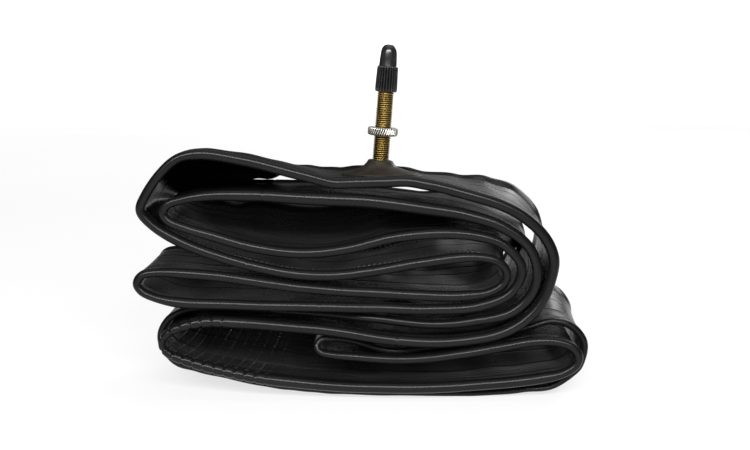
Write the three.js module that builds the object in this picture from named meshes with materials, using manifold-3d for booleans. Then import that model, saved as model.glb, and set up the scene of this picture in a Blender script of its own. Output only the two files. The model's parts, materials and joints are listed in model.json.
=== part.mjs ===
// A folded bicycle inner tube with a threaded needle valve standing out of its top layer.
// Millimetres, +Z up. The stack of layers rests on Z = 0, the tube's width runs along Y, and
// the origin is under the middle of the stack. Each piece is a closed solid of its own.
import * as THREE from "three";
import { mergeVertices } from "three/addons/utils/BufferGeometryUtils.js";
import Module from "manifold-3d";

const wasm = await Module();
wasm.setup();

// ---- Driving dimensions -------------------------------------------------------------------

// The tube lies flat as two rubber walls pressed together, with a rolled bead along each edge.
const tube = {
  halfWidth: 27.5,
  wall: 1.0,
  beadTop: 25.0, // distance from the middle of the width to the thickest line of a bead
  beadShoulder: 26.7,
  beadFoot: 21.3, // where the bead has run out into the flat web
  shoulderShare: 0.72, // the bead's thickness at its shoulder, as a share of the full bead
  sweepStep: 14, // longest step between two sections
  turnStep: THREE.MathUtils.degToRad(24), // largest turn between two sections
  riseFrom: -5, // where a lifted rear edge begins to rise
  flatHalf: 18, // half of the width over which a lifted web is level
};

// How far a cutting tool reaches past the face it opens.
const cutReach = 1;

// How far the stack is moved so that the origin lies under its middle.
const shift = new THREE.Vector3(0, -6.5, 0);

// The valve leaves the level stretch of the top layer and leans a little toward +X.
const valve = {
  x: 5.7,
  webHeight: 79.6, // mid-height of the level stretch
  lean: THREE.MathUtils.degToRad(4.4),
};

const patch = { radius: 14, thickness: 0.8, hole: 3.7, gap: 0.1 };
const foot = {
  // The outside from the feathered edge up to the neck, as [radius, height].
  flare: [[12, 1.3], [9.0, 1.75], [6.6, 2.7], [5.1, 4.0], [4.4, 4.95]],
  flareSteps: 8,
  skirt: 0.2, // how far the blank reaches outside the flare before its underside is cut level
  blankBottom: -2,
  topRadius: 4.1,
  top: 5.1,
  bore: 3.3,
  pocketRadius: 5.0, // room for the stem's flange
  pocketTop: 2.8,
  gap: 0.1,
};
const stem = {
  radius: 3.0,
  bottom: -0.5,
  top: 33.2,
  bore: 2.1,
  flangeRadius: 4.6,
  flangeBottom: 1.6,
  flangeTop: 2.4,
  chamfer: 0.4,
};
const hole = { radius: 3.4, depth: 0.85, sides: 32 };
const core = {
  shank: 1.8, // radius inside the stem
  shankBottom: 23.0,
  head: 2.6, // radius of the narrow threaded end above the stem
  headBottom: 33.8,
  headTop: 40.2,
  bore: 1.15,
};
const gasket = { inner: 1.95, outer: 2.55, bottom: 33.3, top: 33.7 };
const pin = { radius: 0.8, bottom: 19.6, top: 45.2, collarRadius: 1.5, collarTop: 20.2, chamfer: 0.4 };
const seal = { inner: 0.9, outer: 1.7, topOuter: 1.2, bottom: 21.3, top: 22.8 };
const retainer = { inner: 0.9, outer: 1.6, bottom: 20.4, top: 21.1 };
const lockNut = { inner: 0.95, outer: 2.2, bottom: 40.4, top: 43.6, lobes: 12, lobeDepth: 0.2 };
const ringNut = { inner: 3.25, outer: 5.5, bottom: 14.4, top: 17.4, teeth: 36, toothDepth: 0.35 };
const cap = {
  bottom: 30.7,
  skirtTop: 40.4,
  top: 48.2,
  skirtBottomRadius: 4.2,
  skirtTopRadius: 3.85,
  shoulder: 0.4, // height of the sloped shoulder between skirt and dome
  // The dome above the skirt's shoulder, as [radius, depth below the tip].
  dome: [[2.7, 1.6], [1.9, 0.35], [0.9, 0]],
  domeRadius: 3.3,
  boreRadius: 3.25,
  boreStep: 34.2, // the bore narrows above the stem's thread
  boreTaper: 0.5,
  innerRadius: 2.75,
  innerTop: 46.6,
  innerTipRadius: 1.5,
  innerTipHeight: 2,
  ribs: 12,
  grooveRadius: 0.35,
  grooveInset: 0.05,
  grooveShare: 0.8, // how much of the skirt's height a groove takes
};

// ---- The fold of the tube -----------------------------------------------------------------

// The closed route of the tube seen from the front, in stretches that follow one another.
// points: [x, z] of the middle of the layer.
// edge, rear: thickness of the front and rear bead.  back: how far the layer is set back.
// rise: how far its rear edge is lifted.  sag: how far its web is lifted between the beads.
// A pair of values changes evenly along the stretch.
const route = [
  {
    name: "top run",
    edge: 4.1, rear: 4.1, back: 0, rise: 0, sag: 0,
    points: [
      [-58, 90], [-44, 88], [-31, 85], [-20, 82], [-11, 79.6], [-3, 79.6],
      [6, 79.6], [15, 79.6], [23, 79.2], [36, 76], [48.5, 72], [58, 66.8],
    ],
  },
  {
    name: "outer right fold",
    edge: 3.9, rear: 3.9, back: 0, rise: [0, 1], sag: 0,
    points: [[65, 60], [68.2, 52.5], [67.4, 45.5], [64, 36.5], [57, 29]],
  },
  {
    name: "lower wrap run",
    edge: 4.1, rear: 2.8, back: 0, rise: [1.2, 0], sag: [0.8, 0],
    points: [
      [48.5, 24.6], [37, 22.4], [24, 21.8], [7.5, 23], [-8.5, 25.5], [-27, 27.5], [-45, 29], [-58, 29.2],
    ],
  },
  {
    name: "lower left fold",
    edge: 3.6, rear: 3.0, back: 0, rise: 0, sag: 0,
    points: [[-66, 27.4], [-71.7, 24.2], [-73.2, 20.3], [-71.4, 16.8], [-64.5, 13.2]],
  },
  {
    name: "floor run",
    edge: 4.1, rear: 3.6, back: 0, rise: [2, 4], sag: 0.4,
    points: [[-52.5, 9.4], [-36, 6.5], [-16, 4.8], [7.5, 4], [31.5, 4], [51.5, 6], [65, 7.9]],
  },
  {
    name: "lower right fold",
    edge: 3.2, rear: 2.6, back: 0, rise: [2, 0], sag: 0,
    points: [[72.5, 10.2], [76.9, 13.3], [77.9, 16.4], [75.8, 19.8], [71, 21.8]],
  },
  {
    name: "tongue lower run",
    edge: [3.6, 3.0], rear: 2.6, back: 0, rise: -1, sag: [-0.6, -1.2],
    points: [[62, 22], [52, 20.4], [38.5, 18], [24, 16], [11.5, 15.5], [-3.5, 16.4]],
  },
  {
    name: "tongue fold",
    edge: 2.4, rear: 2.4, back: [0, 4], rise: 0, sag: 0,
    points: [[-12.5, 17.4], [-15.8, 18.1], [-17.2, 20], [-16, 21.8], [-12.5, 22.4]],
  },
  {
    name: "tongue upper run",
    edge: 2.3, rear: [2.4, 3.4], back: [6, 9], rise: 0, sag: 0,
    points: [[-3, 20.6], [9.5, 17.1], [24.5, 18.2], [38.5, 20.1], [52, 22.9], [62, 26], [69, 27.8]],
  },
  {
    name: "outer lower right fold",
    edge: 2.8, rear: 3.4, back: 9, rise: 0, sag: 0,
    points: [[76.5, 25.8], [81.15, 20], [80.9, 14.5], [78.3, 9.6]],
  },
  {
    name: "bottom run",
    edge: 2.0, rear: 2.0, back: [10, 12], rise: 0, sag: 0,
    points: [
      [69, 5.4], [58, 2.7], [47, 1.3], [38, 1.05], [30, 1], [10, 1], [-10, 1],
      [-20, 1], [-28, 1.1], [-38, 2.2], [-50, 4.9], [-61, 8.3],
    ],
  },
  {
    name: "outer lower left fold",
    edge: 2.6, rear: 3.0, back: 13, rise: 0, sag: 0,
    points: [[-70, 12.2], [-75.6, 16.5], [-77.2, 21.5], [-74, 27.2]],
  },
  {
    name: "second wrap run",
    edge: [2.2, 3.8], rear: [2.4, 3.6], back: [12, 0], rise: [0, 0.4], sag: 0,
    points: [
      [-66, 31.2], [-55, 32.3], [-42, 32.3], [-28, 31.6], [-12, 30.6], [4, 29.6],
      [24, 27.8], [38.5, 29], [52.5, 32.4],
    ],
  },
  {
    name: "second right fold",
    edge: 3.7, rear: 3.7, back: 0, rise: 0, sag: 0,
    points: [[59.8, 39], [62.2, 47.5], [59.3, 56.5]],
  },
  {
    name: "inner top run",
    edge: 3.9, rear: 3.9, back: 0, rise: 0, sag: 0,
    points: [[49, 64.2], [36, 68.5], [20, 71.5], [2, 73.5], [-19, 74.5], [-40.5, 75.5], [-55, 75.2]],
  },
  {
    name: "inner left fold",
    edge: 3.2, rear: 3.2, back: 0, rise: 0, sag: 0,
    points: [[-64.5, 73.8], [-70, 71.9], [-71.7, 69.2], [-70.1, 66.4], [-64, 63.7]],
  },
  {
    name: "inner lower run",
    edge: 3.9, rear: 3.9, back: 0, rise: 0, sag: 0,
    points: [[-53, 60.5], [-39, 56.5], [-23, 54.5], [-6.5, 56], [9.5, 60], [25.5, 61.5], [40, 60.8]],
  },
  {
    name: "third right fold",
    edge: 3.5, rear: 3.5, back: 0, rise: 0, sag: 0,
    points: [[50, 57.5], [56.6, 49.5], [53.2, 40.5]],
  },
  {
    name: "stub lower run",
    edge: 3.9, rear: 3.4, back: 0, rise: [0, 0.6], sag: 0,
    points: [[42, 35.2], [24, 34], [2, 34.5], [-23, 35], [-48.5, 35.7], [-66, 36.4]],
  },
  {
    name: "stub fold",
    edge: 3.0, rear: 3.0, back: 0, rise: 0, sag: 0,
    points: [[-75.5, 38.4], [-80, 40.6], [-81.6, 43.4], [-80, 46.3], [-75.5, 47.5]],
  },
  {
    name: "stub upper run",
    edge: 3.9, rear: 3.9, back: 0, rise: 0, sag: 0,
    points: [[-62.5, 47], [-44.5, 45], [-23, 42], [-1.5, 40.3], [20, 39.2], [36, 39]],
  },
  {
    name: "core fold",
    edge: 3.0, rear: 3.0, back: 0, rise: 0, sag: 0,
    points: [[45, 40.3], [50.2, 43.5], [51.3, 47.8], [48, 51.4], [42, 52.9]],
  },
  {
    name: "crossing run",
    edge: 3.9, rear: 3.9, back: 0, rise: 0, sag: 0,
    points: [
      [33, 52.7], [20, 51], [2, 47.8], [-10.5, 46.3], [-21, 46.5], [-35.5, 48.9], [-53.5, 53.8], [-67.5, 59.4],
    ],
  },
  {
    name: "outer left fold",
    edge: 3.3, rear: 3.3, back: 0, rise: 0, sag: 0,
    points: [[-75.5, 64.5], [-79.6, 70], [-77.4, 76], [-71.5, 84], [-65.6, 88.6]],
  },
];

// ---- Helpers ------------------------------------------------------------------------------

function between(value, share) {
  return Array.isArray(value) ? THREE.MathUtils.lerp(value[0], value[1], share) : value;
}

// A closed geometry as a solid that can be cut.
function toSolid(geometry) {
  const bare = geometry.clone();
  bare.deleteAttribute("normal");
  bare.deleteAttribute("uv");
  const merged = mergeVertices(bare, 1e-4);
  return new wasm.Manifold(
    new wasm.Mesh({
      numProp: 3,
      vertProperties: new Float32Array(merged.attributes.position.array),
      triVerts: new Uint32Array(merged.index.array),
    }),
  );
}

function toGeometry(solid) {
  const mesh = solid.getMesh();
  const geometry = new THREE.BufferGeometry();
  geometry.setAttribute("position", new THREE.BufferAttribute(new Float32Array(mesh.vertProperties), 3));
  geometry.setIndex(new THREE.BufferAttribute(new Uint32Array(mesh.triVerts), 1));
  return geometry;
}

function cut(geometry, ...tools) {
  return toGeometry(tools.reduce((solid, tool) => solid.subtract(toSolid(tool)), toSolid(geometry)));
}

// A solid of revolution about +Z through [radius, height] points, given from the bottom up
// along its outside and closed back down its bore or along the axis.
function turned(profile, sides) {
  const points = profile.map(([radius, height]) => new THREE.Vector2(radius, height));
  points.push(points[0].clone());
  return new THREE.LatheGeometry(points, sides).rotateX(Math.PI / 2);
}

// A plain ring: a bore, an outside and two flat ends.
function ring(inner, outer, bottom, top, sides) {
  return turned([[inner, bottom], [outer, bottom], [outer, top], [inner, top]], sides);
}

// A grip outline with raised ribs round it, extruded upward.
function ribbed(radius, depth, count, bottom, top, boreRadius, boreSides) {
  const outline = new THREE.Shape();
  const stepsPerRib = 4;
  const total = count * stepsPerRib;
  for (let i = 0; i < total; i++) {
    const raised = i % stepsPerRib < stepsPerRib / 2;
    const angle = (i / total) * Math.PI * 2;
    const r = raised ? radius : radius - depth;
    const point = [r * Math.cos(angle), r * Math.sin(angle)];
    if (i === 0) outline.moveTo(...point);
    else outline.lineTo(...point);
  }
  outline.closePath();
  const bore = new THREE.Path();
  for (let i = boreSides; i > 0; i--) {
    const angle = (i / boreSides) * Math.PI * 2;
    const point = [boreRadius * Math.cos(angle), boreRadius * Math.sin(angle)];
    if (i === boreSides) bore.moveTo(...point);
    else bore.lineTo(...point);
  }
  bore.closePath();
  outline.holes.push(bore);
  const grip = new THREE.ExtrudeGeometry(outline, { depth: top - bottom, bevelEnabled: false });
  return grip.translate(0, 0, bottom);
}

// ---- The tube -----------------------------------------------------------------------------

// Every point of the route with its own values.
function routeStations() {
  return route.flatMap((stretch) =>
    stretch.points.map(([x, z], index) => {
      const share = index / (stretch.points.length - 1);
      return {
        point: new THREE.Vector3(x, 0, z),
        edge: between(stretch.edge, share),
        rear: between(stretch.rear, share),
        back: between(stretch.back, share),
        rise: between(stretch.rise, share),
        sag: between(stretch.sag, share),
      };
    }),
  );
}

// Where sections are taken: closer together where the route turns.
function sectionPlaces(curve, count) {
  const places = [];
  for (let i = 0; i < count; i++) {
    const from = curve.getTangent(i / count);
    const middle = curve.getTangent((i + 0.5) / count);
    const to = curve.getTangent((i + 1) / count);
    const turn = from.angleTo(middle) + middle.angleTo(to);
    const length = curve.getPoint(i / count).distanceTo(curve.getPoint((i + 1) / count));
    const steps = Math.max(1, Math.ceil(length / tube.sweepStep), Math.ceil(turn / tube.turnStep));
    for (let k = 0; k < steps; k++) places.push((i + k / steps) / count);
  }
  return places;
}

// One section as [across, half thickness] from the front edge to the rear edge.
function sectionHalf(edge, rear) {
  const front = edge / 2;
  const back = rear / 2;
  return [
    [-tube.beadShoulder, front * tube.shoulderShare],
    [-tube.beadTop, front],
    [-tube.beadFoot, tube.wall],
    [tube.beadFoot, tube.wall],
    [tube.beadTop, back],
    [tube.beadShoulder, back * tube.shoulderShare],
  ];
}

function buildTubeBand() {
  const stations = routeStations();
  const count = stations.length;
  const curve = new THREE.CatmullRomCurve3(stations.map((s) => s.point), true, "centripetal");
  const places = sectionPlaces(curve, count);
  const positions = [];
  for (const place of places) {
    const index = Math.floor(place * count + 1e-9) % count;
    const share = THREE.MathUtils.smoothstep(place * count - Math.floor(place * count + 1e-9), 0, 1);
    const here = stations[index];
    const next = stations[(index + 1) % count];
    const value = (key) => THREE.MathUtils.lerp(here[key], next[key], share);
    const middle = curve.getPoint(place);
    const along = curve.getTangent(place);
    const normal = new THREE.Vector3(-along.z, 0, along.x);
    const add = (across, half) => {
      const lift =
        value("rise") * THREE.MathUtils.smoothstep(across, tube.riseFrom, tube.beadTop) +
        value("sag") *
          THREE.MathUtils.smoothstep(across, -tube.beadTop, -tube.flatHalf) *
          (1 - THREE.MathUtils.smoothstep(across, tube.flatHalf, tube.beadTop));
      positions.push(
        middle.x + normal.x * half,
        across + value("back"),
        middle.z + normal.z * half + lift,
      );
    };
    const profile = sectionHalf(value("edge"), value("rear"));
    add(-tube.halfWidth, 0);
    for (const [across, half] of profile) add(across, half);
    add(tube.halfWidth, 0);
    for (const [across, half] of profile.reverse()) add(across, -half);
  }
  const ringSize = positions.length / 3 / places.length;
  const triangles = [];
  for (let i = 0; i < places.length; i++) {
    const next = (i + 1) % places.length;
    for (let k = 0; k < ringSize; k++) {
      const after = (k + 1) % ringSize;
      const a = i * ringSize + k;
      const b = next * ringSize + k;
      const c = next * ringSize + after;
      const d = i * ringSize + after;
      triangles.push(a, b, c, a, c, d);
    }
  }
  const geometry = new THREE.BufferGeometry();
  geometry.setAttribute("position", new THREE.Float32BufferAttribute(positions, 3));
  geometry.setIndex(triangles);
  return geometry;
}

// The band with a blind hole in its top wall, where air enters from the valve.
function buildTube() {
  const surface = valve.webHeight + tube.wall;
  const drill = new THREE.CylinderGeometry(hole.radius, hole.radius, hole.depth + cutReach, hole.sides)
    .rotateX(Math.PI / 2)
    .translate(valve.x, 0, surface + (cutReach - hole.depth) / 2);
  return cut(buildTubeBand(), drill);
}

// ---- The valve, about its own axis with 0 at the tube's surface -----------------------------

// The rubber foot flares out of the tube and grips the stem's flange. Its underside is level
// although its axis leans.
function buildFoot() {
  const flare = new THREE.CatmullRomCurve3(
    foot.flare.map(([radius, height]) => new THREE.Vector3(radius, height, 0)),
  );
  const outside = flare.getPoints(foot.flareSteps).map((p) => [p.x, p.y]);
  const blankRadius = outside[0][0] + foot.skirt;
  const body = turned(
    [
      [foot.pocketRadius, foot.blankBottom], [blankRadius, foot.blankBottom], ...outside,
      [foot.topRadius, foot.top], [foot.bore, foot.top], [foot.bore, foot.pocketTop],
      [foot.pocketRadius, foot.pocketTop],
    ],
    40,
  ).rotateY(valve.lean);
  const underside = patch.gap + patch.thickness + foot.gap;
  const blockSize = 4 * blankRadius;
  const block = new THREE.BoxGeometry(blockSize, blockSize, blockSize)
    .translate(0, 0, underside - blockSize / 2);
  return cut(body, block).rotateY(-valve.lean);
}

function buildStem() {
  return turned(
    [
      [stem.bore, stem.bottom], [stem.radius, stem.bottom], [stem.radius, stem.flangeBottom],
      [stem.flangeRadius, stem.flangeBottom], [stem.flangeRadius, stem.flangeTop],
      [stem.radius, stem.flangeTop], [stem.radius, stem.top - stem.chamfer],
      [stem.radius - stem.chamfer, stem.top], [stem.bore, stem.top],
    ],
    28,
  );
}

function buildCoreBody() {
  return turned(
    [
      [core.bore, core.shankBottom], [core.shank, core.shankBottom], [core.shank, core.headBottom],
      [core.head, core.headBottom], [core.head, core.headTop], [core.bore, core.headTop],
    ],
    24,
  );
}

// The pin carries the seal between its lower collar and the core body's mouth.
function buildPin() {
  return turned(
    [
      [0, pin.bottom], [pin.collarRadius, pin.bottom], [pin.collarRadius, pin.collarTop],
      [pin.radius, pin.collarTop], [pin.radius, pin.top - pin.chamfer],
      [pin.radius - pin.chamfer, pin.top], [0, pin.top],
    ],
    16,
  );
}

// A soft rubber cone that closes the mouth of the core body.
function buildPinSeal() {
  return turned(
    [[seal.inner, seal.bottom], [seal.outer, seal.bottom], [seal.topOuter, seal.top], [seal.inner, seal.top]],
    20,
  );
}

function buildLockNut() {
  return ribbed(
    lockNut.outer, lockNut.lobeDepth, lockNut.lobes, lockNut.bottom, lockNut.top, lockNut.inner, 16,
  );
}

function buildRingNut() {
  return ribbed(
    ringNut.outer, ringNut.toothDepth, ringNut.teeth, ringNut.bottom, ringNut.top, ringNut.inner, 28,
  );
}

// The dust cap: a ribbed skirt under a smooth dome, hollow and open at the bottom.
function buildDustCap() {
  const outside = turned(
    [
      [0, cap.bottom], [cap.skirtBottomRadius, cap.bottom],
      [cap.skirtTopRadius, cap.skirtTop - cap.shoulder], [cap.domeRadius, cap.skirtTop],
      ...cap.dome.map(([radius, depth]) => [radius, cap.top - depth]), [0, cap.top],
    ],
    36,
  );
  const inside = turned(
    [
      [0, cap.bottom - cutReach], [cap.boreRadius, cap.bottom - cutReach],
      [cap.boreRadius, cap.boreStep], [cap.innerRadius, cap.boreStep + cap.boreTaper],
      [cap.innerRadius, cap.innerTop - cap.innerTipHeight], [cap.innerTipRadius, cap.innerTop],
      [0, cap.innerTop],
    ],
    24,
  );
  const grooveLength = (cap.skirtTop - cap.bottom) * cap.grooveShare;
  const grooves = Array.from({ length: cap.ribs }, (_, i) =>
    new THREE.CylinderGeometry(cap.grooveRadius, cap.grooveRadius, grooveLength, 8)
      .rotateX(Math.PI / 2)
      .translate(cap.skirtBottomRadius - cap.grooveInset, 0, (cap.skirtTop + cap.bottom - cap.shoulder) / 2)
      .rotateZ((i / cap.ribs) * Math.PI * 2),
  );
  return cut(outside, inside, ...grooves);
}

// ---- Assembly -----------------------------------------------------------------------------

const rubber = { color: 0x17171a, roughness: 0.45, metalness: 0 };
const brass = { color: 0xa87c3a, roughness: 0.35, metalness: 1 };
const nickel = { color: 0xc9c9c6, roughness: 0.25, metalness: 1 };
const plastic = { color: 0x121214, roughness: 0.35, metalness: 0 };

function piece(name, geometry, finish) {
  const mesh = new THREE.Mesh(geometry, new THREE.MeshStandardMaterial(finish));
  mesh.name = name;
  return mesh;
}

const stack = new THREE.Group();
stack.position.copy(shift);
stack.add(piece("tube", buildTube(), rubber));

const onSurface = new THREE.Group();
onSurface.position.set(valve.x, 0, valve.webHeight + tube.wall);
const patchBottom = patch.gap;
const patchTop = patch.gap + patch.thickness;
onSurface.add(piece("valve_patch", ring(patch.hole, patch.radius, patchBottom, patchTop, 48), rubber));
stack.add(onSurface);

const valveAxis = new THREE.Group();
valveAxis.rotation.y = valve.lean;
valveAxis.add(
  piece("valve_foot", buildFoot(), rubber),
  piece("valve_stem", buildStem(), brass),
  piece("valve_core_body", buildCoreBody(), brass),
  piece("core_gasket", ring(gasket.inner, gasket.outer, gasket.bottom, gasket.top, 20), rubber),
  piece("valve_pin", buildPin(), brass),
  piece("pin_seal", buildPinSeal(), rubber),
  piece("seal_retainer", ring(retainer.inner, retainer.outer, retainer.bottom, retainer.top, 16), brass),
  piece("lock_nut", buildLockNut(), brass),
  piece("ring_nut", buildRingNut(), nickel),
  piece("dust_cap", buildDustCap(), plastic),
);
onSurface.add(valveAxis);

export default stack;
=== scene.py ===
"""The looks of a folded bicycle inner tube with a threaded needle valve.

Every piece is made in millimetres in the part's own frame and scaled to metres as its mesh is
made. The tube is one loft along the closed route of its fold; each valve piece is a turned
form about the valve's axis, with its threads, knurls and ribs in the mesh.
"""

import json
import math

import bpy
import numpy as np
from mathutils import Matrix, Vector


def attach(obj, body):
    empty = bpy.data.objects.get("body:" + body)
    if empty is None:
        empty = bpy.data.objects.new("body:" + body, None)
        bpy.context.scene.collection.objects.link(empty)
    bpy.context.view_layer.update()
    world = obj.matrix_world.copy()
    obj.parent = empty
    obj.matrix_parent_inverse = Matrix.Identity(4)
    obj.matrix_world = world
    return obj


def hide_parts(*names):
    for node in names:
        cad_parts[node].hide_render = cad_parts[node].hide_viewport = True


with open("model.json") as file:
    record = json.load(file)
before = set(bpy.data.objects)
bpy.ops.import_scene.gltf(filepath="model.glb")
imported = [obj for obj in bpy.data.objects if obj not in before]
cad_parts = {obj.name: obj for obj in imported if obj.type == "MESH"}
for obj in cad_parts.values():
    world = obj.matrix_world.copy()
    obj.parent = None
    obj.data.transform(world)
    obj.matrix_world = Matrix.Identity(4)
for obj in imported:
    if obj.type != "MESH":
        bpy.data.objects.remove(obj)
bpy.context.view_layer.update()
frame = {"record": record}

MM = 0.001
TURN = 2 * math.pi

# ---- The tube's section and route ------------------------------------------------------------

HALF_WIDTH = 27.5
WALL = 1.0  # half thickness of the pressed web
BEAD_START = 20.2  # where the web begins to thicken into a bead
BEAD_TOP = 24.9  # where the bead is full
SHIFT_Y = -6.5  # the fold's middle lies this far in front of the part's origin
RISE_FROM = -11.0  # the rear part is lifted from this line back
RISE_FULL = 25.0  # the lift is complete here, near the rear bead
RISE_POWER = 1.5
FORE_FROM, FORE_FULL = -10.0, -24.0  # the same for the lift of the front edge
WEB_FULL, WEB_END = 17.0, 24.0  # what moves only the web fades out between these
UV_PER_MM = 0.01  # the tube's UVs are millimetres along and round it, times this

# Stretches of the closed route, seen from the front: points (x, z) of the middle of the layer.
# edge, rear: thickness of the front and rear bead.  back: how far the layer is set back.
# rise: how far its rear edge is lifted.  lean: how far its rear edge is pushed toward +X.
# sag: how far its web is lifted between the beads.  fore: how far its front edge is lifted.
# What a stretch leaves out is 0.
# A list of values changes evenly along the stretch.
ROUTE = [
    dict(
        name="top run", edge=4.1, rear=4.1,
        rise=[-13, -10, -4.9, -2.7, -1, -0.3, 0, -0.8, -2.2, 0, 2.8, 4.4],
        lean=[7, 4, 1, 0, 0, 0, 0, 0, 0, 0, 0, 1],
        fore=[0, 0, 0, 0.2, 0.2, 0.3, 0.5, 0.8, -0.1, 0, 0, 0],
        points=[(-58, 90), (-44, 88), (-31, 85), (-20, 82), (-11, 79.6), (-3, 79.6),
                (6, 79.6), (15, 79.6), (23, 79.2), (36, 76), (48.5, 72), (58, 66.8)],
    ),
    dict(
        name="outer right fold", edge=3.9, rear=3.9, rise=[4, 2.4, 1, 1, 1], lean=[1.6, 1.4, 0.8, 0, 0],
        points=[(65, 60), (68.2, 52.5), (67.4, 45.5), (64, 36.5), (57, 29)],
    ),
    dict(
        name="lower wrap run", edge=4.1, rear=2.8, rise=[1.2, 0], sag=[0.8, 0],
        points=[(48.5, 24.6), (37, 22.4), (24, 21.8), (7.5, 23), (-8.5, 25.5), (-27, 27.5),
                (-45, 29), (-58, 29.2)],
    ),
    dict(
        name="lower left fold", edge=[3.6, 3.0, 2.5, 3.0, 3.7], rear=3.0, rise=[0, 1, 2.5, 4.5, 6.5],
        points=[(-66, 27.4), (-71.7, 24.4), (-73.2, 21), (-71.4, 18), (-64.5, 14.9)],
    ),
    dict(
        name="floor run", edge=4.1, rear=3.6, rise=[8, 10, 9.2, 5, 4.6, 4.8, 4.4], sag=0.4,
        points=[(-52.5, 11.5), (-36, 8), (-16, 5.8), (7.5, 4.8), (31.5, 5.1), (51.5, 6.8), (65, 8.4)],
    ),
    dict(
        name="lower right fold", edge=3.2, rear=2.6, rise=[3.4, 0],
        points=[(72.5, 10.2), (76.9, 13.3), (77.9, 16.4), (75.8, 19.8), (71, 21.8)],
    ),
    dict(
        name="tongue lower run", edge=[3.6, 3.0], rear=2.6, rise=[-1, -1, -1, -1, -0.5, 0.6],
        sag=[-0.6, -1.2],
        points=[(62, 22), (52, 20.4), (38.5, 18), (24, 16), (11.5, 15.5), (-3.5, 16.4)],
    ),
    dict(
        name="tongue fold", edge=2.4, rear=2.4, back=[0, 4], rise=[0.8, 0.4],
        points=[(-12.5, 17.4), (-15.8, 18.1), (-17.2, 20), (-16, 21.8), (-12.5, 22.4)],
    ),
    dict(
        name="tongue upper run", edge=2.3, rear=[2.4, 3.4], back=[6, 9],
        rise=[0, 0, 0, 0, 0, 0.6, 2.8], lean=[0, 0, 0, 0, 0, 0.5, 1.5],
        points=[(-3, 20.6), (9.5, 17.1), (24.5, 18.2), (38.5, 20.1), (52, 22.9), (62, 26), (69, 27.8)],
    ),
    dict(
        name="outer lower right fold", edge=2.8, rear=3.4, back=[9, 9, 7.5],
        rise=[3, 2, 0.4], lean=[1.8, 2, 1],
        points=[(76.5, 25.8), (81.15, 20), (80.9, 14.5), (78.3, 9.6)],
    ),
    dict(
        name="bottom run", edge=2.1, rear=2.0, back=6.3,
        fore=[-1.8, -0.2, -0.05, -0.35, -0.4, -0.1, 0.6, 1.2, 1.8, 2.7, 2.8, 2],
        points=[(69, 5.4), (58, 2.7), (47, 1.6), (38, 1.45), (30, 1.4), (10, 1.4), (-10, 1.4),
                (-20, 1.4), (-28, 1.5), (-38, 2.2), (-50, 4.9), (-61, 8.3)],
    ),
    dict(
        name="outer lower left fold", edge=2.6, rear=3.0, back=[9, 13, 13],
        points=[(-69.4, 12.2), (-74.6, 16.5), (-75.9, 21.5), (-73, 27.2)],
    ),
    dict(
        name="second wrap run", edge=[2.2, 3.8], rear=[2.4, 3.6], back=[12, 0], rise=[0, 0.4],
        points=[(-66, 31.2), (-55, 32.3), (-42, 32.3), (-28, 31.6), (-12, 30.6), (4, 29.6),
                (24, 27.8), (38.5, 29), (52.5, 32.4)],
    ),
    dict(
        name="second right fold", edge=3.7, rear=4.0, rise=[0, 0.6, 2], lean=[0, 0.5, 1.2],
        points=[(59.8, 39), (62.2, 47.5), (59.3, 56.5)],
    ),
    dict(
        name="inner top run", edge=[4, 4.4, 4.8, 5, 5, 4.4, 3.9], rear=3.9,
        rise=[2.2, 0.4, -2, -2.2, -1.2, -1.6, -1.4], fore=[0, -0.3, -0.5, -0.4, -0.4, 0, 0],
        points=[(49, 64.2), (36, 68.5), (20, 71.5), (2, 73.5), (-19, 74.5), (-40.5, 75.5), (-55, 75.2)],
    ),
    dict(
        name="inner left fold", edge=3.2, rear=2.8, rise=[-1.2, -0.8, 0.6, 1.6, 3],
        points=[(-64.5, 73.8), (-70, 71.9), (-71.7, 69.2), (-70.1, 66.4), (-64, 63.7)],
    ),
    dict(
        name="inner lower run", edge=3.9, rear=3.9, rise=[5, 9.2, 9, 8.8, 6.5, 4.5, 3],
        points=[(-53, 60.5), (-39, 56.5), (-23, 54.5), (-6.5, 56), (9.5, 60), (25.5, 61.5), (40, 60.8)],
    ),
    dict(
        name="third right fold", edge=3.5, rear=3.5, rise=[2.2, 1, 0], lean=[1.4, 2.4, 1.2],
        points=[(50, 57.5), (56.6, 49.5), (53.2, 40.5)],
    ),
    dict(
        name="stub lower run", edge=3.9, rear=3.4, rise=[0, 0.6],
        points=[(42, 35.2), (24, 34), (2, 34.5), (-23, 35), (-48.5, 35.7), (-66, 36.4)],
    ),
    dict(
        name="stub fold", edge=3.0, rear=3.0,
        points=[(-75.5, 38.4), (-80, 40.6), (-81.6, 43.4), (-80, 46.3), (-75.5, 47.5)],
    ),
    dict(
        name="stub upper run", edge=3.9, rear=3.9, rise=[0, 0, 0, 0, 2, 3.4],
        points=[(-62.5, 47), (-44.5, 45), (-23, 42), (-1.5, 40.3), (20, 39.2), (36, 39)],
    ),
    dict(
        name="core fold", edge=3.0, rear=3.0, rise=[3.4, 2.8, 1.8, 1.6, 1],
        lean=[0.8, 2.6, 3.7, 3.7, 2.2],
        points=[(45, 40.3), (50.2, 43.5), (51.3, 47.8), (48, 51.4), (42, 52.9)],
    ),
    dict(
        name="crossing run", edge=3.9, rear=3.9,
        points=[(33, 52.7), (20, 51), (2, 47.8), (-10.5, 46.3), (-21, 46.5), (-35.5, 48.9),
                (-53.5, 53.8), (-67.5, 59.4)],
    ),
    dict(
        name="outer left fold", edge=3.3, rear=3.3, rise=[0, -2, -5, -9, -11.5], lean=[1, 4, 6, 7, 7.5],
        points=[(-75.5, 64.5), (-79.6, 70), (-77.4, 76), (-71.5, 84), (-65.6, 88.6)],
    ),
]
KEYS = ("edge", "rear", "back", "rise", "lean", "sag", "fore")


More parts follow.
